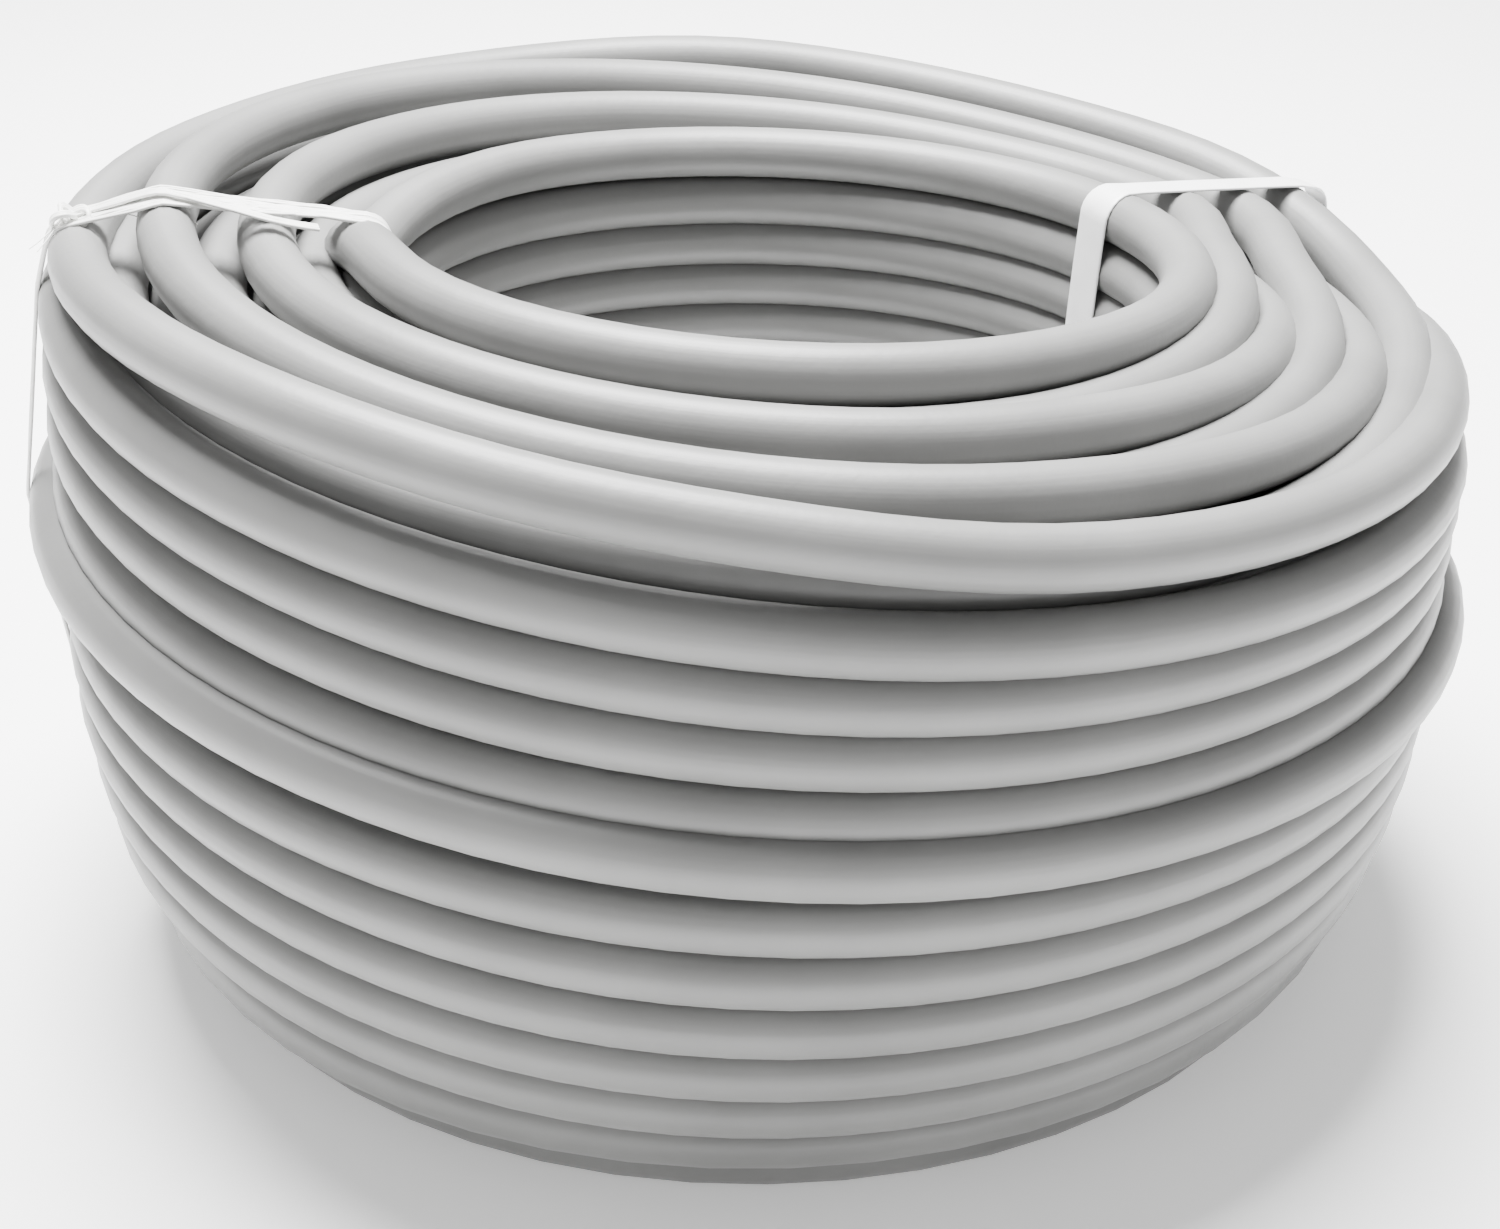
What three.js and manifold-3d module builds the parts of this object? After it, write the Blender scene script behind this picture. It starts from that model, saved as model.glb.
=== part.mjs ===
// Coil of data cable, wound without a reel and held by two ties.
// Units are millimetres. Z is up, the coil's axis is Z, and the floor it stands on is z = 0.
import * as THREE from 'three';
import { mergeVertices } from 'three/addons/utils/BufferGeometryUtils.js';
import Module from 'manifold-3d';

// Cable and winding
const cableDiameter = 7.6;
const boreRadius = 51.4; // clear radius inside the innermost turns
const layers = 7; // turns side by side from the bore to the outer wall
const layerPitch = 6.05; // layers sit in each other's valleys, so closer than a diameter
const rows = 13; // turns above each other in the outer wall
const rowPitch = 7.2;
const floorLayers = 5; // layers that reach down to the floor
const topTurnRise = 4; // every second layer's top turn rides up on its neighbours, first and last included
const looseRow = 7; // counted from the floor, the turn that has sprung out of the wall
const looseRowStandOut = 2.6;
const topLean = 9.5; // how far the top's outer edge drops at +X and rises at -X
const topSag = 4.5; // how far it hangs at both sides, below its front and its back
const segmentsRound = 36;
const longestFacet = THREE.MathUtils.degToRad(52); // along the outline of one turn

// Ties. Each crosses the turns in the middle of one of their facets, at a multiple of 10 degrees.
const tieGap = 0.3; // between a tie and the cable
const floorGap = 0.15; // between a tie and the floor
const leftTieAzimuth = 190;
const leftTieWidth = 3.2;
const leftTieThickness = 0.8;
const knotSize = new THREE.Vector3(6.5, 7.5, 4); // radial, along the turns, up
const tailLength = 32;
const tailWidth = 2.2;
const tailSplay = 5; // degrees away from the band, towards the front
const rightTieAzimuth = 30;
const rightTieWidth = 5;
const rightTieThickness = 0.7;

const cableRadius = cableDiameter / 2;
const innerTurnRadius = boreRadius + cableRadius;
const outerTurnRadius = innerTurnRadius + (layers - 1) * layerPitch;
const topTurnHeight = cableRadius + (rows - 1) * rowPitch;
const outerRadius = outerTurnRadius + cableRadius;
const facetAngle = (2 * Math.PI) / segmentsRound;

// Centre of each turn that shows on the coil's section, anticlockwise: under the coil, up its outer wall,
// over its top and down the bore. The section is drawn with x as radius and y as height.
function shownTurns() {
  const centres = [];
  for (let layer = 0; layer < floorLayers; layer++) {
    centres.push(new THREE.Vector2(innerTurnRadius + layer * layerPitch, cableRadius));
  }
  const roundedRows = layers - floorLayers + 2;
  const floorInset = (layers - floorLayers) * layerPitch;
  for (let row = 1; row < rows; row++) {
    const inset = floorInset * Math.max(0, 1 - row / roundedRows) ** 2;
    const standOut = row === looseRow ? looseRowStandOut : 0;
    const height = cableRadius + row * rowPitch + (row === rows - 1 ? topTurnRise : 0);
    centres.push(new THREE.Vector2(outerTurnRadius - inset + standOut, height));
  }
  for (let layer = layers - 2; layer >= 0; layer--) {
    const rise = layer % 2 === 0 ? topTurnRise : 0;
    centres.push(new THREE.Vector2(innerTurnRadius + layer * layerPitch, topTurnHeight + rise));
  }
  const boreTop = topTurnHeight + topTurnRise;
  for (let row = rows - 2; row > 0; row--) {
    const height = cableRadius + (row * (boreTop - cableRadius)) / (rows - 1);
    centres.push(new THREE.Vector2(innerTurnRadius, height));
  }
  return centres;
}

// Where the outlines of two neighbouring turns meet, on the coil's outside.
function grooveBetween(first, second) {
  const step = second.clone().sub(first);
  const middle = first.clone().addScaledVector(step, 0.5);
  const outwards = new THREE.Vector2(step.y, -step.x).normalize();
  const depth = Math.sqrt(Math.max(0, cableRadius ** 2 - step.lengthSq() / 4));
  return middle.addScaledVector(outwards, depth);
}

// Closed outline of the section: a flat-sided arc for each turn, and a groove between each two.
function sectionOutline(centres) {
  const outline = [];
  centres.forEach((centre, index) => {
    const before = centres[(index + centres.length - 1) % centres.length];
    const after = centres[(index + 1) % centres.length];
    const start = grooveBetween(before, centre);
    const startAngle = start.clone().sub(centre).angle();
    let span = grooveBetween(centre, after).sub(centre).angle() - startAngle;
    if (span < 0) span += 2 * Math.PI;
    const facets = Math.max(3, Math.ceil(span / longestFacet));
    const facet = span / facets;
    outline.push(start);
    for (let corner = 1; corner < facets; corner++) {
      const angle = startAngle + corner * facet;
      const reach = cableRadius / Math.cos(facet / 2);
      const point = new THREE.Vector2(Math.cos(angle), Math.sin(angle)).multiplyScalar(reach).add(centre);
      outline.push(new THREE.Vector2(point.x, Math.max(0, point.y)));
    }
  });
  return outline;
}

// The turns lean to the right and hang at the sides, more towards the top and the outside, and not at all
// at the floor.
function leanAt(radius, x, z) {
  const share = (z / topTurnHeight) ** 2 * (radius / outerTurnRadius) ** 2;
  const sideways = x / outerTurnRadius;
  return -share * sideways * (topLean + topSag * sideways);
}

function ringOfTurns(outline) {
  const closed = [...outline, outline[0]];
  const ring = new THREE.LatheGeometry(closed, segmentsRound, facetAngle / 2);
  ring.rotateX(Math.PI / 2);
  const position = ring.getAttribute('position');
  const point = new THREE.Vector3();
  for (let index = 0; index < position.count; index++) {
    point.fromBufferAttribute(position, index);
    point.z += leanAt(Math.hypot(point.x, point.y), point.x, point.z);
    position.setXYZ(index, point.x, point.y, point.z);
  }
  return ring;
}

// Convex outline around a set of points, anticlockwise.
function hullOf(points) {
  const sorted = [...points].sort((a, b) => a.x - b.x || a.y - b.y);
  const half = (ordered) => {
    const chain = [];
    for (const point of ordered) {
      while (chain.length > 1) {
        const edge = chain.at(-1).clone().sub(chain.at(-2));
        if (edge.cross(point.clone().sub(chain.at(-1))) > 0) break;
        chain.pop();
      }
      chain.push(point);
    }
    return chain.slice(0, -1);
  };
  return [...half(sorted), ...half(sorted.reverse())];
}

// The same outline moved outwards all round, with its corners cut at 45 degrees.
function grownHull(points, distance) {
  const corners = 8;
  const reach = distance / Math.cos(Math.PI / corners);
  const grown = points.flatMap((point) => Array.from({ length: corners }, (_, index) => {
    const angle = ((index + 0.5) * 2 * Math.PI) / corners;
    return new THREE.Vector2(point.x + reach * Math.cos(angle), point.y + reach * Math.sin(angle));
  }));
  return hullOf(grown);
}

// Outline that a taut tie of this width follows at this azimuth, over the leaning turns. Under the coil it
// runs in a channel, so that it stays clear of the floor.
function tautOutline(outline, azimuth, width, thickness) {
  const facetPlane = Math.cos(facetAngle / 2);
  const angle = THREE.MathUtils.degToRad(azimuth);
  const points = outline.flatMap((point) => [-width / 2, width / 2].map((aside) => {
    const radius = point.x * facetPlane;
    const x = radius * Math.cos(angle) - aside * Math.sin(angle);
    const height = point.y + leanAt(point.x, x, point.y);
    return new THREE.Vector2(radius, Math.max(height, channelDepth(thickness)));
  }));
  return hullOf(points);
}

function channelDepth(thickness) {
  return floorGap + thickness + tieGap;
}

// Turns a shape drawn as radius and height into a plate at this azimuth, centred on its width.
function standUp(geometry, azimuth, width) {
  geometry.translate(0, 0, -width / 2);
  geometry.rotateX(Math.PI / 2);
  geometry.rotateZ(THREE.MathUtils.degToRad(azimuth));
  return geometry;
}

function tieLoop(outline, azimuth, width, thickness) {
  const taut = tautOutline(outline, azimuth, width, thickness);
  const loop = new THREE.Shape(grownHull(taut, tieGap + thickness));
  loop.holes.push(new THREE.Path(grownHull(taut, tieGap)));
  return standUp(new THREE.ExtrudeGeometry(loop, { depth: width, bevelEnabled: false }), azimuth, width);
}

function channelFor(azimuth, width, thickness) {
  const length = outerRadius - boreRadius + 2 * cableDiameter;
  const depth = 2 * channelDepth(thickness);
  const channel = new THREE.BoxGeometry(length, depth, width + 2 * tieGap);
  channel.translate((boreRadius + outerRadius) / 2, 0, width / 2);
  return standUp(channel, azimuth, width);
}

// The knot lies on the outermost top turn, and the band's free end runs from it towards the bore.
function knotAndTail(outline) {
  const taut = tautOutline(outline, leftTieAzimuth, leftTieWidth, leftTieThickness);
  const top = grownHull(taut, tieGap);
  const outerShoulder = top.reduce((best, point) => (point.y + point.x / 2 > best.y + best.x / 2 ? point : best));
  const innerShoulder = top.reduce((best, point) => (point.y - point.x / 2 > best.y - best.x / 2 ? point : best));
  const slope = Math.atan2(outerShoulder.y - innerShoulder.y, outerShoulder.x - innerShoulder.x);

  const bandTop = outerShoulder.y + leftTieThickness;
  const knot = new THREE.SphereGeometry(0.5, 10, 8);
  knot.scale(knotSize.x, knotSize.z, knotSize.y);
  knot.translate(outerShoulder.x - knotSize.x / 2, bandTop + knotSize.z / 2, leftTieWidth / 2);

  const tail = new THREE.BoxGeometry(tailLength, leftTieThickness, tailWidth);
  tail.translate(-tailLength / 2, 0, 0);
  tail.rotateY(THREE.MathUtils.degToRad(-tailSplay));
  tail.rotateZ(slope);
  tail.translate(outerShoulder.x - knotSize.x / 2, bandTop, leftTieWidth / 2);
  return [knot, tail].map((geometry) => standUp(geometry, leftTieAzimuth, leftTieWidth));
}

const wasm = await Module();
wasm.setup();

function toSolid(geometry) {
  const bare = geometry.clone();
  bare.deleteAttribute('normal');
  bare.deleteAttribute('uv');
  const merged = mergeVertices(bare);
  const mesh = new wasm.Mesh({
    numProp: 3,
    vertProperties: new Float32Array(merged.getAttribute('position').array),
    triVerts: new Uint32Array(merged.getIndex().array),
  });
  return new wasm.Manifold(mesh);
}

function toGeometry(solid) {
  const mesh = solid.getMesh();
  const geometry = new THREE.BufferGeometry();
  geometry.setAttribute('position', new THREE.BufferAttribute(mesh.vertProperties, 3));
  geometry.setIndex(new THREE.BufferAttribute(mesh.triVerts, 1));
  geometry.computeVertexNormals();
  return geometry;
}

function named(name, geometry, material) {
  const mesh = new THREE.Mesh(geometry, material);
  mesh.name = name;
  return mesh;
}

const outline = sectionOutline(shownTurns());
const leftChannel = channelFor(leftTieAzimuth, leftTieWidth, leftTieThickness);
const rightChannel = channelFor(rightTieAzimuth, rightTieWidth, rightTieThickness);
const coil = toSolid(ringOfTurns(outline)).subtract(toSolid(leftChannel)).subtract(toSolid(rightChannel));

const leftBand = tieLoop(outline, leftTieAzimuth, leftTieWidth, leftTieThickness);
const leftTie = knotAndTail(outline).reduce((tie, piece) => tie.add(toSolid(piece)), toSolid(leftBand));
const rightTie = toSolid(tieLoop(outline, rightTieAzimuth, rightTieWidth, rightTieThickness));

const jacket = new THREE.MeshStandardMaterial({ color: '#b9b9b9', roughness: 0.55, metalness: 0 });
const fibre = new THREE.MeshStandardMaterial({ color: '#f2f2f0', roughness: 0.8, metalness: 0 });
const tape = new THREE.MeshStandardMaterial({ color: '#f4f4f4', roughness: 0.6, metalness: 0 });

const cableCoil = new THREE.Group();
cableCoil.add(named('cable_coil', toGeometry(coil), jacket));
cableCoil.add(named('knotted_tie', toGeometry(leftTie), fibre));
cableCoil.add(named('flat_tie', toGeometry(rightTie), tape));

export default cableCoil;
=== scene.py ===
import math
import random

import bmesh
import bpy
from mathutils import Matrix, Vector


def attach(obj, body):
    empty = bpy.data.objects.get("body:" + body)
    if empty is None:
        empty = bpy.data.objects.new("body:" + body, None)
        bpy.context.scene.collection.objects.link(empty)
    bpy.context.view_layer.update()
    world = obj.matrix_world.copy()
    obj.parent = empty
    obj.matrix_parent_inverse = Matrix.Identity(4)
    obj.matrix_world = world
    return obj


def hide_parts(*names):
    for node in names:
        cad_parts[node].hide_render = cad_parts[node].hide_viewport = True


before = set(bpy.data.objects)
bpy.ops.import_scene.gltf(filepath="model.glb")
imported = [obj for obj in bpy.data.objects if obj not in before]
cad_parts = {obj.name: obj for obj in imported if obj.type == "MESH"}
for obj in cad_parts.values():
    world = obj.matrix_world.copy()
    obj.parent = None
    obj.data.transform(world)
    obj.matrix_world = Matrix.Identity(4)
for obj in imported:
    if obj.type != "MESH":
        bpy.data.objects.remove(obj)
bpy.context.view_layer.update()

# Lengths are in millimetres until a mesh is made, and azimuths in degrees, anticlockwise from +X.
toMetres = 0.001


# Small helpers

def clamp(value, low=0.0, high=1.0):
    return max(low, min(high, value))


def ease(start, end, value):
    share = clamp((value - start) / (end - start))
    return share * share * (3 - 2 * share)


def mix(low, high, share):
    return low + (high - low) * share


def atAzimuth(radius, azimuth, height):
    angle = math.radians(azimuth)
    return Vector((radius * math.cos(angle), radius * math.sin(angle), height))


def linearColour(hexValue):
    channels = [int(hexValue[i:i + 2], 16) / 255 for i in (1, 3, 5)]
    linear = [c / 12.92 if c <= 0.04045 else ((c + 0.055) / 1.055) ** 2.4 for c in channels]
    return (*linear, 1.0)


# A node with its settings and its incoming links. A name stands for the socket that is switched on.
def addNode(tree, kind, links=None, **settings):
    node = tree.nodes.new(kind)
    for name, value in settings.items():
        if name in node.bl_rna.properties:
            setattr(node, name, value)
        else:
            node.inputs[name].default_value = value
    for name, source in (links or {}).items():
        target = node.inputs[name]
        if isinstance(name, str):
            target = next(s for s in node.inputs if s.name == name and s.enabled)
        tree.links.new(source, target)
    return node


# Camera, at the photograph's viewing angle

cameraView = {
    "lens": 62.4,  # on a 36 mm wide frame
    "elevation": 27.3,
    "distance": 376.9,
    "aimHeight": 38.0,  # of the point on the coil's axis that is in the middle of the frame
}


def makeCamera(view):
    elevation = math.radians(view["elevation"])
    lens = bpy.data.cameras.new("photoCamera")
    lens.lens = view["lens"]
    lens.sensor_width = 36
    lens.clip_start = 0.01
    camera = bpy.data.objects.new("photoCamera", lens)
    back = Vector((0, -math.cos(elevation), math.sin(elevation)))
    camera.location = (back * view["distance"] + Vector((0, 0, view["aimHeight"]))) * toMetres
    camera.rotation_euler = (math.pi / 2 - elevation, 0, 0)
    bpy.context.collection.objects.link(camera)
    bpy.context.scene.camera = camera


makeCamera(cameraView)
print("camera placed")


# Cable

winding = {
    "diameter": 7.6,
    "innerRadius": 55.2,  # of the innermost turns' centres
    "layers": 7,
    "layerPitch": 6.05,
    "rows": 13,  # turns above each other in the outer wall
    "rowPitch": 7.1,
    "boreRows": 14,
    "borePitch": 6.8,
    "stepAzimuth": 20.0,  # where the turns step from row to row, and from layer to layer
    "boreStepDelay": 0.444,  # of a turn, by which the innermost layer's steps come later
    "settle": 1.2,  # the lower wall has sunk this much
    "topLean": 11.0,  # the outer rim is this much higher at -X and lower at +X
    "sideRise": 8.0,  # the low rows of the wall are this much higher at the sides than in front
    "middleSideRise": 3.5,  # and the rows above the middle this much
    "footSpread": 4.0,  # the lowest rows stand this much further out at the sides
    "boreLean": 3.1,  # the bore's rim is this much higher at the front and lower at the back
    "boreShift": 3.1,  # of the bore's rim towards +X
    "rimShift": 2.1,  # of the outer rim towards +X
    "floorInset": 12.1,  # the turn on the floor lies this much inside the wall
    "roundedRows": 5,
    "looseRow": 7,
    "looseOut": 3.4,  # the loose turn stands out of the wall
    "looseUp": 2.5,
    "upperRowsUp": 0.6,  # the rows between the loose turn and the top turn lie this much higher
    "topTurnInset": 1.5,  # the outermost top turn lies this much inside the wall
    "topTurnOver": 4.2,  # it rides this much over its neighbour at the back,
    "topTurnDip": 2.0,  # lies this much lower at the left
    "topTurnGape": 5.0,  # and gapes this much in front
    "crossing": 1.5,  # it and the turn that it crosses in the step lie this much lower
    "ringRise": 4.6,  # every second ring of the top rides up this much
    "ringSunk": 1.5,  # and the rings between them have sunk this much
    "outerRingSunk": 3.5,
    "innerRingUp": 2.4,  # the ring next to the bore lies this much over the wall's top
    "middleRingsUp": 0.8,
    "lastTurnOut": 3.0,  # the last turn of the layer under the outer one moves out to meet it
    "boreTurnRise": 1.1,
    "innerEnd": 0.361,  # of a turn past the step, where the cable begins,
    "tuckDrop": 16.0,  # tucked in behind the turn below it
    "tuckOut": 5.0,
    "helixShare": 0.4,  # of a row's climb that is spread over the whole turn, the rest is in the step
    "stepHalfWidth": 0.13,  # of a turn
    "smoothing": 14.0,  # degrees to both sides, over which radius and height are evened out
    "tieAzimuths": (192.0, 26.5),  # where the turns on the floor rest on the ties
    "tieLift": 1.0,
    "sides": 18,
}
cableRadius = winding["diameter"] / 2
outerLayer = winding["layers"] - 1
outerRadius = winding["innerRadius"] + outerLayer * winding["layerPitch"]
topHeight = cableRadius + (winding["rows"] - 1) * winding["rowPitch"]


# Rows that have been passed after this many turns: mostly in a step, behind the flat tie.
def rowsPassed(turns):
    nearest = math.floor(turns + 0.5)
    halfWidth = winding["stepHalfWidth"]
    stepped = nearest - 0.5 + ease(-halfWidth, halfWidth, turns - nearest)
    return mix(stepped, turns - (90 - winding["stepAzimuth"]) / 360, winding["helixShare"])


def wallRadius(row):
    rounded = max(0.0, 1 - row / winding["roundedRows"]) ** 2
    loose = ease(0.5, 0.28, abs(row - winding["looseRow"]))
    inset = winding["floorInset"] * rounded + winding["topTurnInset"] * ease(11.3, 11.9, row)
    return outerRadius - inset + winding["looseOut"] * loose


def wallHeight(row):
    settled = winding["settle"] * max(0.0, 1 - row / 7) * ease(0, 1, row)
    loose = ease(0.5, 0.28, abs(row - winding["looseRow"]))
    riding = winding["looseUp"] * loose + winding["upperRowsUp"] * ease(8, 9, row) * ease(12, 11.4, row)
    return cableRadius + row * winding["rowPitch"] - settled + riding


# How much higher the outermost top turn rides than a packed one. In turns after the step, the back is at
# about 0.2, the left at 0.45, the front at 0.7 and the right at 0.95.
def topTurnLift(turns):
    over = winding["topTurnOver"] * ease(-0.01, 0.06, turns) * ease(0.3, 0.19, turns)
    dip = winding["topTurnDip"] * ease(0.27, 0.38, turns) * ease(0.52, 0.44, turns)
    gape = winding["topTurnGape"] * ease(0.44, 0.62, turns) * mix(1, 0.62, ease(0.68, 0.76, turns))
    crossing = winding["crossing"] * ease(0.93, 1.0, turns) * ease(1.2, 1.05, turns)
    return over - dip + gape * ease(1.03, 0.93, turns) - crossing


# Where a layer that is wound downwards runs, this many turns after the step at its top.
def downwards(layer, turns):
    if layer == outerLayer:
        row = winding["rows"] - 0.5 - rowsPassed(turns)
        return wallRadius(row), wallHeight(row) + topTurnLift(turns)
    radius = winding["innerRadius"] + layer * winding["layerPitch"]
    if layer == 0:
        passed = rowsPassed(turns - winding["boreStepDelay"])
        tucked = ease(0.5, 0.375, turns)
        height = cableRadius + winding["borePitch"] * (winding["boreRows"] - 0.5 - passed)
        height += winding["boreTurnRise"] * ease(1.5, 1.3, turns) - winding["tuckDrop"] * tucked
        radius += winding["tuckOut"] * tucked
    else:
        height = cableRadius + winding["rowPitch"] * (winding["rows"] - 0.5 - rowsPassed(turns))
        height += winding["ringRise"] * ease(-0.1, 0.5, turns) * ease(1.0, 0.75, turns)
    return radius, max(cableRadius, height)


# The same for a layer that is wound upwards, from the step at its foot.
def upwards(layer, turns, count):
    left = count - turns
    foot = cableRadius + winding["rowPitch"] / 2
    if layer == outerLayer - 1:
        foot = wallHeight(1)
    top = topHeight + (winding["innerRingUp"] if layer == 1 else winding["middleRingsUp"])
    pitch = (top - foot) / (count - 1)
    height = foot + pitch * (rowsPassed(turns) - 0.5)
    sunk = winding["outerRingSunk"] if layer == outerLayer - 1 else winding["ringSunk"]
    height -= sunk * ease(0.06, 0.24, left) * ease(1.4, 1.05, left)
    radius = winding["innerRadius"] + layer * winding["layerPitch"]
    if layer == outerLayer - 1:
        radius -= (radius - wallRadius(1)) * ease(1.4, 0.6, turns)
        radius += winding["lastTurnOut"] * ease(0.1, 0, left)
        height -= winding["crossing"] * ease(0.06, 0, left)
    return radius, max(cableRadius, height)


# Fine where the cable is seen, and coarse inside the coil.
def stationsPerTurn(layer, fromTop, count):
    if layer == 0:
        return 60
    if layer == outerLayer or fromTop < 2.2:
        return 84
    return 54 if count - fromTop < 1.1 else 30


# Stations along the whole cable: azimuth, radius and height of its centre before the coil leans, and layer.
def windCable():
    stations = []
    startAzimuth = winding["stepAzimuth"]
    for layer in range(winding["layers"]):
        count = winding["rows"] if layer else winding["boreRows"]
        count -= max(0, layer - outerLayer + 2)
        descending = layer % 2 == 0
        turns = 0.0 if layer else winding["innerEnd"]
        while turns < count:
            if descending:
                radius, height = downwards(layer, turns)
                fromTop = turns
            else:
                radius, height = upwards(layer, turns, count)
                fromTop = count - turns
            perTurn = stationsPerTurn(layer, fromTop, count)
            stations.append([startAzimuth + 360 * turns, radius, height, layer])
            turns += 1 / perTurn
        startAzimuth += 360 * count
    return stations


# Evens out radius and height over this many degrees, so that no bend is sharper than the cable allows.
def smoothStations(stations, reach):
    smoothed = []
    first = 0
    last = 0
    for azimuth, _, _, layer in stations:
        while stations[first][0] < azimuth - reach:
            first += 1
        while last < len(stations) and stations[last][0] <= azimuth + reach:
            last += 1
        weights = [1 + math.cos(math.pi * (s[0] - azimuth) / reach) for s in stations[first:last]]
        total = sum(weights)
        near = stations[first:last]
        radius = sum(w * s[1] for w, s in zip(weights, near)) / total
        height = sum(w * s[2] for w, s in zip(weights, near)) / total
        smoothed.append([azimuth, radius, height, layer])
    return smoothed


# The coil as it stands: leaning, shifted, and with the turns of its wall higher at its sides.
def leaned(azimuth, radius, height, layer):
    angle = math.radians(azimuth)
    upShare = height / topHeight
    outShare = (radius - winding["innerRadius"]) / (outerRadius - winding["innerRadius"])
    lean = winding["topLean"] * upShare ** (2.0 - 0.7 * outShare)
    lean *= (radius / outerRadius) ** 3 * math.cos(angle)
    lean += winding["boreLean"] * upShare * max(0.0, 1 - outShare) ** 2 * math.sin(angle)
    shift = mix(winding["boreShift"], winding["rimShift"], outShare) * upShare ** 3
    if layer == outerLayer:
        sideways = 1 - abs(math.sin(angle))
        sideways *= 1 - sideways / 2
        rise = winding["sideRise"] * ease(50, 34, height) * ease(4, 10, height)
        rise += winding["middleSideRise"] * ease(48, 58, height) * ease(80, 72, height)
        radius += winding["footSpread"] * sideways * ease(30, 8, height)
        height += rise * sideways
    for resting in winding["tieAzimuths"]:
        away = abs((azimuth - resting + 180) % 360 - 180)
        height += winding["tieLift"] * ease(16, 5, away) * ease(8, 4.5, height)
    return atAzimuth(radius, azimuth, height - lean) + Vector((shift, 0, 0))


def makeMesh(name, vertices, faces, uvs=None):
    mesh = bpy.data.meshes.new(name)
    mesh.from_pydata([v * toMetres for v in vertices], [], faces)
    if uvs:
        layer = mesh.uv_layers.new(name="along")
        flat = [value for uv in uvs for value in uv]
        layer.data.foreach_set("uv", flat)
    mesh.polygons.foreach_set("use_smooth", [True] * len(mesh.polygons))
    mesh.update()
    piece = bpy.data.objects.new(name, mesh)
    bpy.context.collection.objects.link(piece)
    return piece


# A closed round tube along these centres, with its length and its girth as the UV map, in millimetres.
def makeTube(name, centres, radius, sides):
    vertices, faces, uvs = [], [], []
    along = 0.0
    travelled = []
    for index, centre in enumerate(centres):
        before = centres[max(index - 1, 0)]
        after = centres[min(index + 1, len(centres) - 1)]
        tangent = (after - before).normalized()
        out = Vector((centre.x, centre.y, 0))
        out = (out - tangent * out.dot(tangent)).normalized()
        up = tangent.cross(out)
        if index:
            along += (centre - centres[index - 1]).length
        travelled.append(along)
        for side in range(sides):
            angle = 2 * math.pi * side / sides
            vertices.append(centre + (out * math.cos(angle) + up * math.sin(angle)) * radius)
    girth = 2 * math.pi * radius
    for ring in range(len(centres) - 1):
        for side in range(sides):
            following = (side + 1) % sides
            a, b = ring * sides + side, ring * sides + following
            faces.append((a, a + sides, b + sides, b))
            low, high = girth * side / sides, girth * (side + 1) / sides
            start, end = travelled[ring], travelled[ring + 1]
            uvs += [(start, low), (end, low), (end, high), (start, high)]
    lastRing = (len(centres) - 1) * sides
    for loop, reach in ((range(sides), 0.0), (reversed(range(lastRing, lastRing + sides)), along)):
        faces.append(tuple(loop))
        uvs += [(reach, 0.0)] * sides
    return makeMesh(name, vertices, faces, uvs), along


stations = smoothStations(windCable(), winding["smoothing"])
cableLine = [leaned(*station) for station in stations]
cable, cableLength = makeTube("cable", cableLine, cableRadius, winding["sides"])
print(f"cable wound: {cableLength / 1000:.2f} m in {(stations[-1][0] - stations[0][0]) / 360:.1f} turns, "
      f"{len(cableLine)} stations, {len(cableLine) * winding['sides'] * 2} triangles")


# Materials

def newMaterial(name):
    material = bpy.data.materials.new(name)
    material.use_nodes = True
    material.node_tree.nodes.clear()
    return material, material.node_tree


# A colour between two, by a share.
def blend(tree, share, first, second):
    node = addNode(tree, "ShaderNodeMix", data_type="RGBA")
    colours = [s for s in node.inputs if s.type == "RGBA" and s.enabled]
    colours[0].default_value = linearColour(first)
    colours[1].default_value = linearColour(second)
    tree.links.new(share, next(s for s in node.inputs if s.name == "Factor" and s.enabled))
    return next(s for s in node.outputs if s.enabled)


jacketLooks = {
    "colour": "#7d7d7c",
    "rubbedColour": "#717170",
    "patchSize": 26.0,  # of the faint clouds in the colour
    "streakLength": 60.0,
    "streakWidth": 0.9,
    "grainSize": 1.3,  # coarser than the real matt grain, which would be too fine to see
    "roughness": (0.36, 0.5),
    "bumpDepth": 0.05,
}


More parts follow.
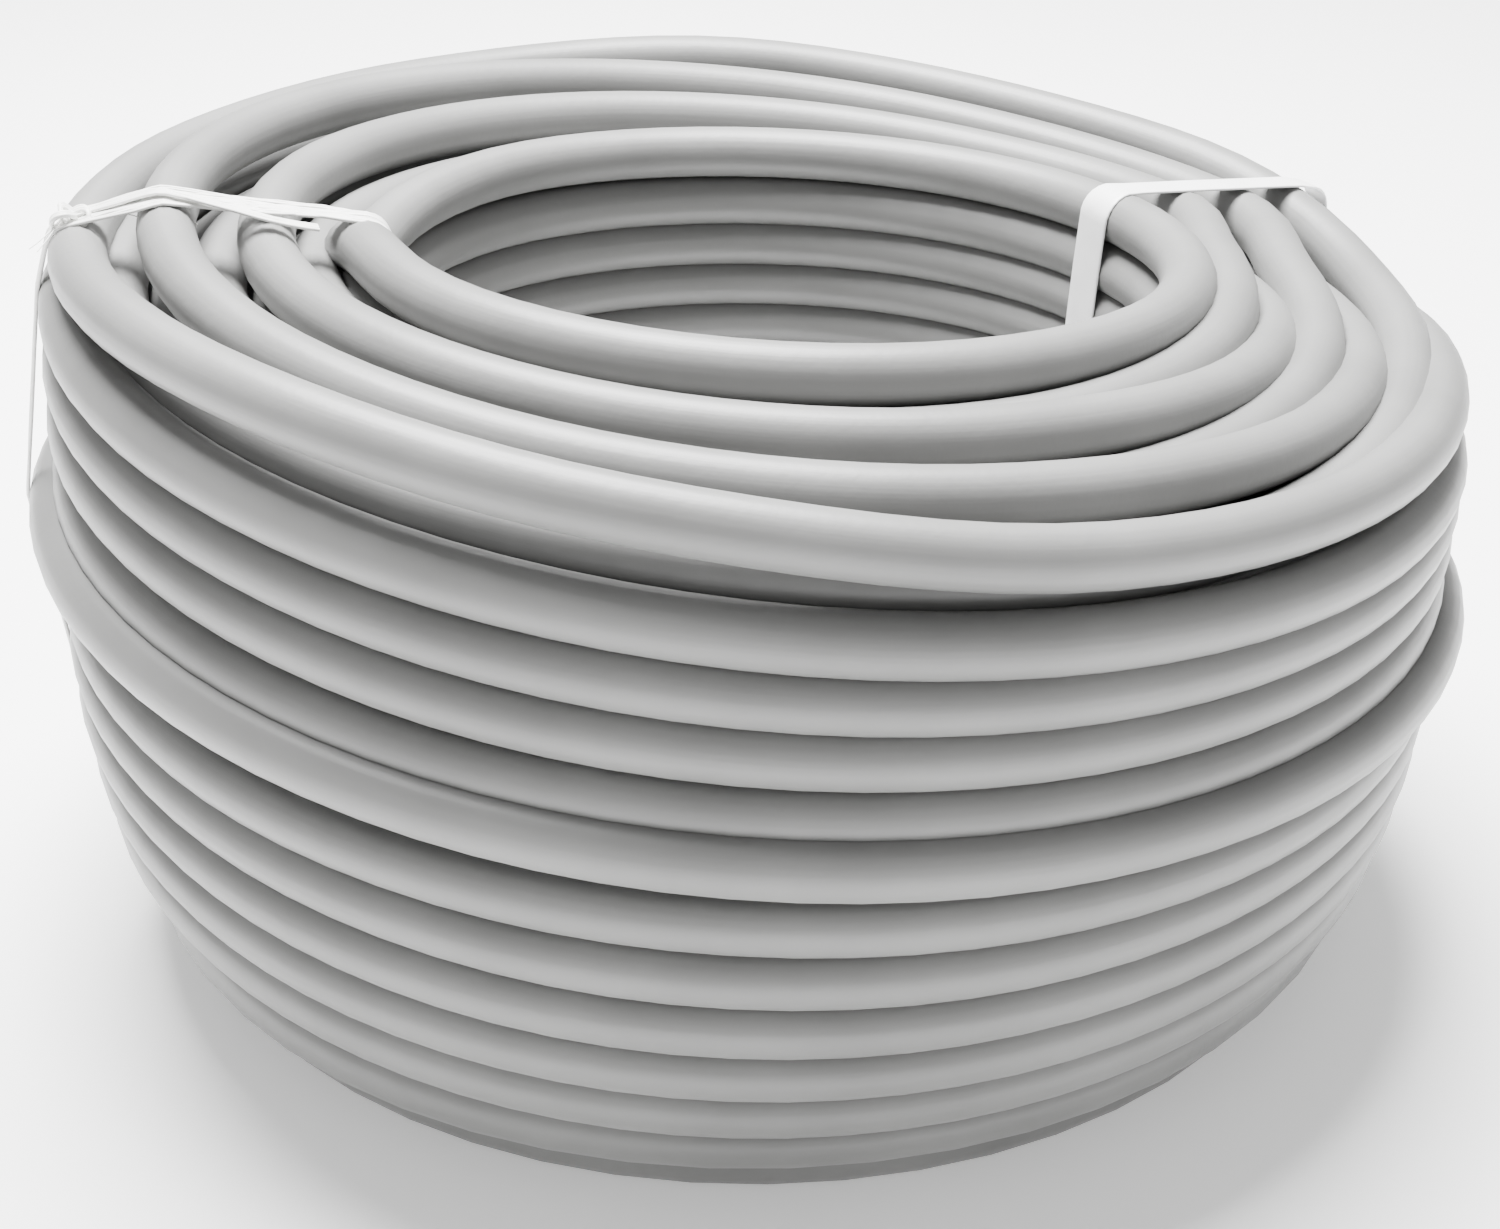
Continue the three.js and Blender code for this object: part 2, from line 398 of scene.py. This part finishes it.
# Low-smoke polyolefin, extruded: fine lines drawn along the jacket, a soft sheen, and faint clouds where it
# was rubbed and pulled taut.
def extrudedPolyolefin(looks):
    material, tree = newMaterial("extrudedPolyolefinJacket")
    along = addNode(tree, "ShaderNodeUVMap", uv_map="along")
    stretched = addNode(tree, "ShaderNodeMapping", {"Vector": along.outputs[0]})
    stretched.inputs["Scale"].default_value = (1 / looks["streakLength"], 1 / looks["streakWidth"], 1.0)
    streaks = addNode(tree, "ShaderNodeTexNoise", {"Vector": stretched.outputs[0]}, Scale=1.0, Detail=2.0)
    place = addNode(tree, "ShaderNodeTexCoord")
    clouds = addNode(tree, "ShaderNodeTexNoise", {"Vector": place.outputs["Object"]},
                     Scale=1000 / looks["patchSize"], Detail=3.0)
    share = addNode(tree, "ShaderNodeMapRange", {"Value": clouds.outputs[0]})
    share.inputs["From Min"].default_value = 0.35
    share.inputs["From Max"].default_value = 0.75
    colour = blend(tree, share.outputs[0], looks["colour"], looks["rubbedColour"])
    roughness = addNode(tree, "ShaderNodeMapRange", {"Value": streaks.outputs[0]})
    roughness.inputs["To Min"].default_value = looks["roughness"][0]
    roughness.inputs["To Max"].default_value = looks["roughness"][1]
    grain = addNode(tree, "ShaderNodeTexNoise", {"Vector": place.outputs["Object"]},
                    Scale=1000 / looks["grainSize"], Detail=2.0)
    relief = addNode(tree, "ShaderNodeMath", {0: streaks.outputs[0], 1: grain.outputs[0]}, operation="ADD")
    bump = addNode(tree, "ShaderNodeBump", {"Height": relief.outputs[0]},
                   Distance=looks["bumpDepth"] * toMetres, Strength=0.6)
    shader = addNode(tree, "ShaderNodeBsdfPrincipled", {
        "Base Color": colour, "Roughness": roughness.outputs[0],
        "Normal": bump.outputs[0]}, IOR=1.5)
    addNode(tree, "ShaderNodeOutputMaterial", {"Surface": shader.outputs[0]})
    return material


jacket = extrudedPolyolefin(jacketLooks)
cable.data.materials.append(jacket)

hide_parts("cable_coil")
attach(cable, "root")

# Ties

fibreTie = {
    "boreAzimuth": 193.5,  # where it goes down the bore
    "rimAzimuth": 190.5,  # where it goes down the outer wall
    "strands": 24,
    "strandRadius": 0.22,
    "spread": 5.2,  # width of the band over the coil's top
    "drawnIn": 0.28,  # of that width, where it is drawn tight down the outer wall
    "wander": 14.0,  # length over which a strand drifts across the band
    "tailEnd": (58.0, 199.0),  # radius and azimuth where the free end is cut
    "tailStrands": 8,
    "tailWidth": 1.8,
    "knotSize": 2.6,
    "knotStrands": 6,
    "knotWidth": 1.2,
    "wisps": 9,  # hairs that have split off
    "wispRadius": 0.07,
    "seed": 5,
    "colour": "#fbfbf9",
    "paintedFibreShade": "#dededb",
    # painted shade, mixed into the white by the fibre noise
    "fibreSize": 1.2,
}
flatTie = {
    "boreAzimuth": 25.0,
    "rimAzimuth": 28.5,
    "width": 4.8,
    "boreWidth": 6.8,  # it lies spread out flat in the bore, and folded over the coil's top
    "thickness": 0.5,
    "slack": 3.5,  # how far it stands off the rim of the coil
    "slackDrop": 1.0,
    "boreZone": (62, 54),  # radii between which it widens towards the bore
    "colour": "#fdfdfd",
    # painted shade: the grey of the tape where the crease noise is high
    "paintedCreaseShade": "#ececec",
    "creaseSize": 5.0,
    "creaseDepth": 0.2,
}
floorClearance = 0.1


def tieAzimuth(tie, radius):
    share = (radius - winding["innerRadius"]) / (outerRadius - winding["innerRadius"])
    return mix(tie["boreAzimuth"], tie["rimAzimuth"], share)


# Radius and height of the cable's turns where they pass under a tie.
def turnsUnder(tie):
    found = []

    def ahead(point):
        target = tieAzimuth(tie, math.hypot(point.x, point.y))
        turned = math.degrees(math.atan2(point.y, point.x)) - target
        return (turned + 180) % 360 - 180

    for here, following in zip(cableLine, cableLine[1:]):
        before, after = ahead(here), ahead(following)
        if before < 0 <= after and after - before < 60:
            crossing = here.lerp(following, -before / (after - before))
            found.append((math.hypot(crossing.x, crossing.y), crossing.z))
    return found


def convexHull(points):
    points = sorted(points)

    def chain(ordered):
        kept = []
        for x, y in ordered:
            while len(kept) > 1:
                (ax, ay), (bx, by) = kept[-2], kept[-1]
                if (bx - ax) * (y - by) - (by - ay) * (x - bx) > 0:
                    break
                kept.pop()
            kept.append((x, y))
        return kept[:-1]

    return chain(points) + chain(points[::-1])


# The closed line of a taut tie round the coil's section, as radius and height, anticlockwise.
def tautLine(tie, offset):
    reach = cableRadius + offset
    lowest = floorClearance + offset
    corners = [math.radians(15 * step) for step in range(24)]
    grown = []
    turns = turnsUnder(tie)
    if tie.get("slack"):
        rim = max(turns, key=lambda turn: turn[0] + turn[1])
        turns.append((rim[0] + tie["slack"], rim[1] - tie["slackDrop"]))
    for radius, height in turns:
        for corner in corners:
            side = max(lowest, height + reach * math.sin(corner))
            grown.append((radius + reach * math.cos(corner), side))
    return convexHull(grown)


def onCoil(tie, radius, height):
    return atAzimuth(radius, tieAzimuth(tie, radius), height)


# Points along a line no further apart than the step.
def filledIn(points, step, closed=False):
    filled = []
    ends = points[1:] + points[:1] if closed else points[1:]
    for start, end in zip(points, ends):
        parts = max(1, math.ceil((end - start).length / step))
        filled += [start.lerp(end, part / parts) for part in range(parts)]
    if not closed:
        filled.append(points[-1])
    return filled


# How the strands of a band lie, as shares of its width or of a strand's radius.
strandLay = {
    "middle": 0.45,  # of the ranks from 0 to 1, that runs along the line itself
    "phase": 7.31,  # between the drifts of two neighbouring strands
    "drift": 1.5,
    "ruffle": 1.6,
    "drawStart": 0.95,  # of the rim's radius, from where the band is drawn in
}


# Geometry Nodes: strands that drift across a band along each input line.
def strandTree():
    tree = bpy.data.node_groups.new("strandsAlongPath", "GeometryNodeTree")
    face = tree.interface
    face.new_socket("Geometry", in_out="OUTPUT", socket_type="NodeSocketGeometry")
    face.new_socket("Geometry", in_out="INPUT", socket_type="NodeSocketGeometry")
    for name, kind in (
        ("Strand Count", "NodeSocketInt"),
        ("Band Width", "NodeSocketFloat"),
        ("Strand Radius", "NodeSocketFloat"),
        ("Drift Length", "NodeSocketFloat"),
        ("Rim Radius", "NodeSocketFloat"),
        ("Drawn In", "NodeSocketFloat"),
        ("Across", "NodeSocketVector"),
        ("Seed", "NodeSocketFloat"),
        ("Material", "NodeSocketMaterial"),
    ):
        face.new_socket(name, in_out="INPUT", socket_type=kind)
    given = tree.nodes.new("NodeGroupInput").outputs
    result = tree.nodes.new("NodeGroupOutput").inputs

    copies = addNode(tree, "GeometryNodeDuplicateElements", {
        "Geometry": given["Geometry"], "Amount": given["Strand Count"]}, domain="SPLINE")
    rank = copies.outputs["Duplicate Index"]
    share = addNode(tree, "ShaderNodeMath", {0: rank, 1: given["Strand Count"]}, operation="DIVIDE")
    centred = addNode(tree, "ShaderNodeMath", {0: share.outputs[0]}, operation="SUBTRACT")
    centred.inputs[1].default_value = strandLay["middle"]
    place = addNode(tree, "GeometryNodeInputPosition")
    detail = addNode(tree, "ShaderNodeMath", {1: given["Drift Length"]}, operation="DIVIDE")
    detail.inputs[0].default_value = 1.0
    phase = addNode(tree, "ShaderNodeMath", {0: rank, 2: given["Seed"]}, operation="MULTIPLY_ADD")
    phase.inputs[1].default_value = strandLay["phase"]
    noise = addNode(tree, "ShaderNodeTexNoise", {
        "Vector": place.outputs[0], "W": phase.outputs[0], "Scale": detail.outputs[0]},
        noise_dimensions="4D", Detail=1.0)
    shaken = addNode(tree, "ShaderNodeVectorMath", {0: noise.outputs["Color"]}, operation="SUBTRACT")
    shaken.inputs[1].default_value = (0.5, 0.5, 0.5)
    parts = addNode(tree, "ShaderNodeSeparateXYZ", {0: shaken.outputs[0]})
    drift = addNode(tree, "ShaderNodeMath", {0: parts.outputs["X"], 2: centred.outputs[0]},
                    operation="MULTIPLY_ADD")
    drift.inputs[1].default_value = strandLay["drift"]
    level = addNode(tree, "ShaderNodeVectorMath", {0: place.outputs[0]}, operation="MULTIPLY")
    level.inputs[1].default_value = (1.0, 1.0, 0.0)
    reach = addNode(tree, "ShaderNodeVectorMath", {0: level.outputs[0]}, operation="LENGTH")
    inside = addNode(tree, "ShaderNodeMath", {0: given["Rim Radius"]}, operation="MULTIPLY")
    inside.inputs[1].default_value = strandLay["drawStart"]
    width = addNode(tree, "ShaderNodeMapRange", {
        "Value": reach.outputs["Value"], "From Min": inside.outputs[0], "From Max": given["Rim Radius"],
        "To Max": given["Drawn In"]})
    width.inputs["To Min"].default_value = 1.0
    local = addNode(tree, "ShaderNodeMath", {0: width.outputs[0], 1: given["Band Width"]},
                    operation="MULTIPLY")
    sideways = addNode(tree, "ShaderNodeMath", {0: drift.outputs[0], 1: local.outputs[0]},
                       operation="MULTIPLY")
    across = addNode(tree, "ShaderNodeVectorMath", {0: given["Across"], "Scale": sideways.outputs[0]},
                     operation="SCALE")
    loft = addNode(tree, "ShaderNodeMath", {0: given["Strand Radius"]}, operation="MULTIPLY")
    loft.inputs[1].default_value = strandLay["ruffle"]
    ruffled = addNode(tree, "ShaderNodeVectorMath", {0: shaken.outputs[0], "Scale": loft.outputs[0]},
                      operation="SCALE")
    offset = addNode(tree, "ShaderNodeVectorMath", {0: across.outputs[0], 1: ruffled.outputs[0]},
                     operation="ADD")
    moved = addNode(tree, "GeometryNodeSetPosition", {
        "Geometry": copies.outputs["Geometry"], "Offset": offset.outputs[0]})
    profile = addNode(tree, "GeometryNodeCurvePrimitiveCircle", {"Radius": given["Strand Radius"]},
                      Resolution=6)
    tube = addNode(tree, "GeometryNodeCurveToMesh", {
        "Curve": moved.outputs["Geometry"], "Profile Curve": profile.outputs["Curve"]})
    tube.inputs["Fill Caps"].default_value = True
    solid = addNode(tree, "GeometryNodeRealizeInstances", {"Geometry": tube.outputs["Mesh"]})
    finished = addNode(tree, "GeometryNodeSetMaterial", {
        "Geometry": solid.outputs["Geometry"], "Material": given["Material"]})
    tree.links.new(finished.outputs["Geometry"], result["Geometry"])
    return tree


# Runs a tree on these lines and gives the result as a plain mesh.
def grow(tree, lines, **inputs):
    curve = bpy.data.curves.new("lines", "CURVE")
    curve.dimensions = "3D"
    for points, closed in lines:
        spline = curve.splines.new("POLY")
        spline.points.add(len(points) - 1)
        for knot, point in zip(spline.points, points):
            knot.co = (*(point * toMetres), 1.0)
        spline.use_cyclic_u = closed
    carrier = bpy.data.objects.new("lines", curve)
    bpy.context.collection.objects.link(carrier)
    modifier = carrier.modifiers.new("strands", "NODES")
    modifier.node_group = tree
    sockets = {item.name: item.identifier for item in tree.interface.items_tree
               if item.item_type == "SOCKET" and item.in_out == "INPUT"}
    for name, value in inputs.items():
        modifier[sockets[name]] = value
    evaluated = carrier.evaluated_get(bpy.context.evaluated_depsgraph_get())
    mesh = bpy.data.meshes.new_from_object(evaluated)
    carrier.modifiers.remove(modifier)
    bpy.data.objects.remove(carrier)
    return mesh


def joined(name, meshes, material):
    whole = bmesh.new()
    for mesh in meshes:
        whole.from_mesh(mesh)
        bpy.data.meshes.remove(mesh)
    bmesh.ops.recalc_face_normals(whole, faces=whole.faces)
    mesh = bpy.data.meshes.new(name)
    whole.to_mesh(mesh)
    whole.free()
    mesh.polygons.foreach_set("use_smooth", [True] * len(mesh.polygons))
    mesh.materials.clear()
    mesh.materials.append(material)
    piece = bpy.data.objects.new(name, mesh)
    bpy.context.collection.objects.link(piece)
    return piece


# Polypropylene film, split into fibres: white and glossy along the fibres, with painted shade that greys it
# in noise patches about a fibre wide.
def splitFilmFibre(looks):
    material, tree = newMaterial("splitPolypropyleneFilm")
    place = addNode(tree, "ShaderNodeTexCoord")
    fibres = addNode(tree, "ShaderNodeTexNoise", {"Vector": place.outputs["Object"]},
                     Scale=1000 / looks["fibreSize"], Detail=3.0)
    # Painted shade: the white goes grey in noise patches about a fibre wide.
    colour = blend(tree, fibres.outputs[0], looks["colour"], looks["paintedFibreShade"])
    shader = addNode(tree, "ShaderNodeBsdfPrincipled", {"Base Color": colour}, Roughness=0.38, IOR=1.49)
    addNode(tree, "ShaderNodeOutputMaterial", {"Surface": shader.outputs[0]})
    return material


# The band with its knot on the outermost turn, its free end and the hairs that have split off.
def makeFibreTie(tie, tree, material):
    radius = tie["strandRadius"]
    loop = tautLine(tie, radius * 1.4)
    band = filledIn([onCoil(tie, *point) for point in loop], 3, closed=True)
    angle = math.radians(tie["boreAzimuth"])
    across = Vector((-math.sin(angle), math.cos(angle), 0))
    common = {"Across": tuple(across), "Material": material, "Drift Length": tie["wander"] * toMetres,
              "Rim Radius": (outerRadius + cableRadius) * toMetres, "Drawn In": tie["drawnIn"]}

    shoulder = max(loop, key=lambda point: point[1] + 0.6 * point[0])
    knotCentre = onCoil(tie, shoulder[0] - 1.5, shoulder[1] + 1.0)
    out = Vector((math.cos(angle), math.sin(angle), 0))
    knot = []
    for step in range(49):
        turn = 2 * math.pi * step / 48
        knot.append(knotCentre + tie["knotSize"] * (
            out * (math.sin(turn) + 2 * math.sin(2 * turn)) / 3
            + across * (math.cos(turn) - 2 * math.cos(2 * turn)) / 3
            - Vector((0, 0, 1)) * math.sin(3 * turn) / 3))

    endRadius, endAzimuth = tie["tailEnd"]
    tail = [knotCentre]
    for step in range(1, 25):
        share = step / 24
        at = mix(shoulder[0] - 3, endRadius, share)
        height = heightOver(loop, at) + 2 * radius + 0.5 * math.sin(math.pi * share)
        swing = ease(0.2, 1, share)
        azimuth = mix(tie["rimAzimuth"], endAzimuth, 0.3 * share + 0.7 * swing)
        tail.append(atAzimuth(at, azimuth, height - 0.6 * swing))

    def strands(lines, count, width, thickness, seed):
        return grow(tree, lines, **common, **{
            "Strand Count": count, "Band Width": width * toMetres, "Strand Radius": thickness * toMetres,
            "Seed": seed})

    meshes = [
        strands([(band, True)], tie["strands"], tie["spread"], radius, 1.0),
        strands([(filledIn(tail, 3), False)], tie["tailStrands"], tie["tailWidth"], radius, 40.0),
        strands([(knot, True)], tie["knotStrands"], tie["knotWidth"], 1.3 * radius, 80.0),
    ]
    chance = random.Random(tie["seed"])
    hairs = []
    for hair in range(tie["wisps"]):
        inwards = hair < tie["wisps"] * 0.6
        start = knotCentre - out * (chance.uniform(5, 12) if inwards else -1)
        heading = (out * (-0.6 if inwards else 0.5) + across * chance.uniform(0.5, 1.2)
                   + Vector((0, 0, chance.uniform(-0.1, 0.1 if inwards else -0.5)))).normalized()
        curl = across.cross(heading) * chance.uniform(-1, 1)
        length = chance.uniform(4, 8)
        hairs.append(([start + (heading * t + curl * t * t * 0.4) * length
                       for t in (0, 0.2, 0.4, 0.6, 0.8, 1)], False))
    meshes.append(strands(hairs, 1, 0.0, tie["wispRadius"], 120.0))
    return joined("knottedTie", meshes, material)


# Height of a taut line's upper side at this radius.
def heightOver(loop, radius):
    best = 0.0
    for (ax, ay), (bx, by) in zip(loop, loop[1:] + loop[:1]):
        if min(ax, bx) <= radius <= max(ax, bx) and abs(bx - ax) > 1e-9:
            best = max(best, mix(ay, by, (radius - ax) / (bx - ax)))
    return best


# A closed ribbon along a loop: its section is a flat rectangle with rounded edges.
def makeFlatTie(tie, material):
    offset = tie["thickness"] / 2
    loop = tautLine(tie, offset)
    centres = filledIn([onCoil(tie, *point) for point in loop], 2, closed=True)
    section = []
    for side in range(16):
        angle = 2 * math.pi * (side + 0.5) / 16
        c, s = math.cos(angle), math.sin(angle)
        section.append((math.copysign(abs(c) ** 0.3, c) / 2, math.copysign(abs(s) ** 0.6, s) * offset))
    vertices, faces = [], []
    count = len(centres)
    for index, centre in enumerate(centres):
        tangent = (centres[(index + 1) % count] - centres[index - 1]).normalized()
        inwards = Vector((-centre.x, -centre.y, 0)).normalized()
        plane = inwards.cross(Vector((0, 0, 1))).normalized()
        across = (plane - tangent * plane.dot(tangent)).normalized()
        thick = tangent.cross(across)
        spread = ease(*tie["boreZone"], math.hypot(centre.x, centre.y))
        width = mix(tie["width"], tie["boreWidth"], spread)
        vertices += [centre + across * a * width + thick * b for a, b in section]
    around = len(section)
    for ring in range(count):
        for side in range(around):
            a, b = ring * around, ((ring + 1) % count) * around
            following = (side + 1) % around
            faces.append((a + side, b + side, b + following, a + following))
    ribbon = makeMesh("flatTie", vertices, faces)
    ribbon.data.materials.append(material)
    return ribbon


# Polypropylene film, slit into tape: smooth and white, with soft creases in the bump that catch the light,
# and painted shade that greys the colour where the crease noise is high.
def flatTape(looks):
    material, tree = newMaterial("slitPolypropyleneTape")
    place = addNode(tree, "ShaderNodeTexCoord")
    creases = addNode(tree, "ShaderNodeTexNoise", {"Vector": place.outputs["Object"]},
                      Scale=1000 / looks["creaseSize"], Detail=2.0)
    bump = addNode(tree, "ShaderNodeBump", {"Height": creases.outputs[0]},
                   Distance=looks["creaseDepth"] * toMetres, Strength=0.5)
    # Painted shade: the white goes grey where the crease noise is high, the same noise that makes the bump.
    colour = blend(tree, creases.outputs[0], looks["colour"], looks["paintedCreaseShade"])
    shader = addNode(tree, "ShaderNodeBsdfPrincipled", {"Base Color": colour, "Normal": bump.outputs[0]},
                     Roughness=0.35, IOR=1.49)
    addNode(tree, "ShaderNodeOutputMaterial", {"Surface": shader.outputs[0]})
    return material


knottedTie = makeFibreTie(fibreTie, strandTree(), splitFilmFibre(fibreTie))
flatBand = makeFlatTie(flatTie, flatTape(flatTie))
for tie, node, slot in ((knottedTie, "knotted_tie", "tie_fibre"), (flatBand, "flat_tie", "tie_tape")):
    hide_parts(node)
    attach(tie, "root")
    print(f"{tie.name}: {sum(len(p.vertices) - 2 for p in tie.data.polygons)} triangles")

# Floor and light

studio = {
    "floorColour": "#fbfbfb",
    "floorGlow": 0.4,  # the floor is a sheet that is lit from below
    "skyColour": "#ffffff",
    "skyStrength": 0.6,
    "keyPower": 50.0,
    "keySize": 0.55,
    "keyPlace": (-70, 200, 760),
}


def makeFloor():
    bpy.ops.mesh.primitive_plane_add(size=8, location=(0, 0, 0))
    floor = bpy.context.object
    floor.name = "floor"
    material, tree = newMaterial("backlitOpalAcrylic")
    shader = addNode(tree, "ShaderNodeBsdfPrincipled", Roughness=0.7)
    shader.inputs["Base Color"].default_value = linearColour(studio["floorColour"])
    shader.inputs["Emission Color"].default_value = linearColour(studio["floorColour"])
    shader.inputs["Emission Strength"].default_value = studio["floorGlow"]
    addNode(tree, "ShaderNodeOutputMaterial", {"Surface": shader.outputs[0]})
    floor.data.materials.append(material)


def addAreaLight(name, place, size, power, aim=(0, 0, 60)):
    light = bpy.data.lights.new(name, "AREA")
    light.shape = "DISK"
    light.size = size
    light.energy = power
    lamp = bpy.data.objects.new(name, light)
    lamp.location = Vector(place) * toMetres
    lamp.rotation_euler = (Vector(aim) - Vector(place)).to_track_quat("-Z", "Y").to_euler()
    bpy.context.collection.objects.link(lamp)


def makeSky():
    world = bpy.data.worlds.new("studioSky")
    world.use_nodes = True
    bpy.context.scene.world = world
    background = world.node_tree.nodes["Background"]
    background.inputs["Color"].default_value = linearColour(studio["skyColour"])
    background.inputs["Strength"].default_value = studio["skyStrength"]


makeFloor()
makeSky()
addAreaLight("keyLight", studio["keyPlace"], studio["keySize"], studio["keyPower"])
print("floor and light placed")
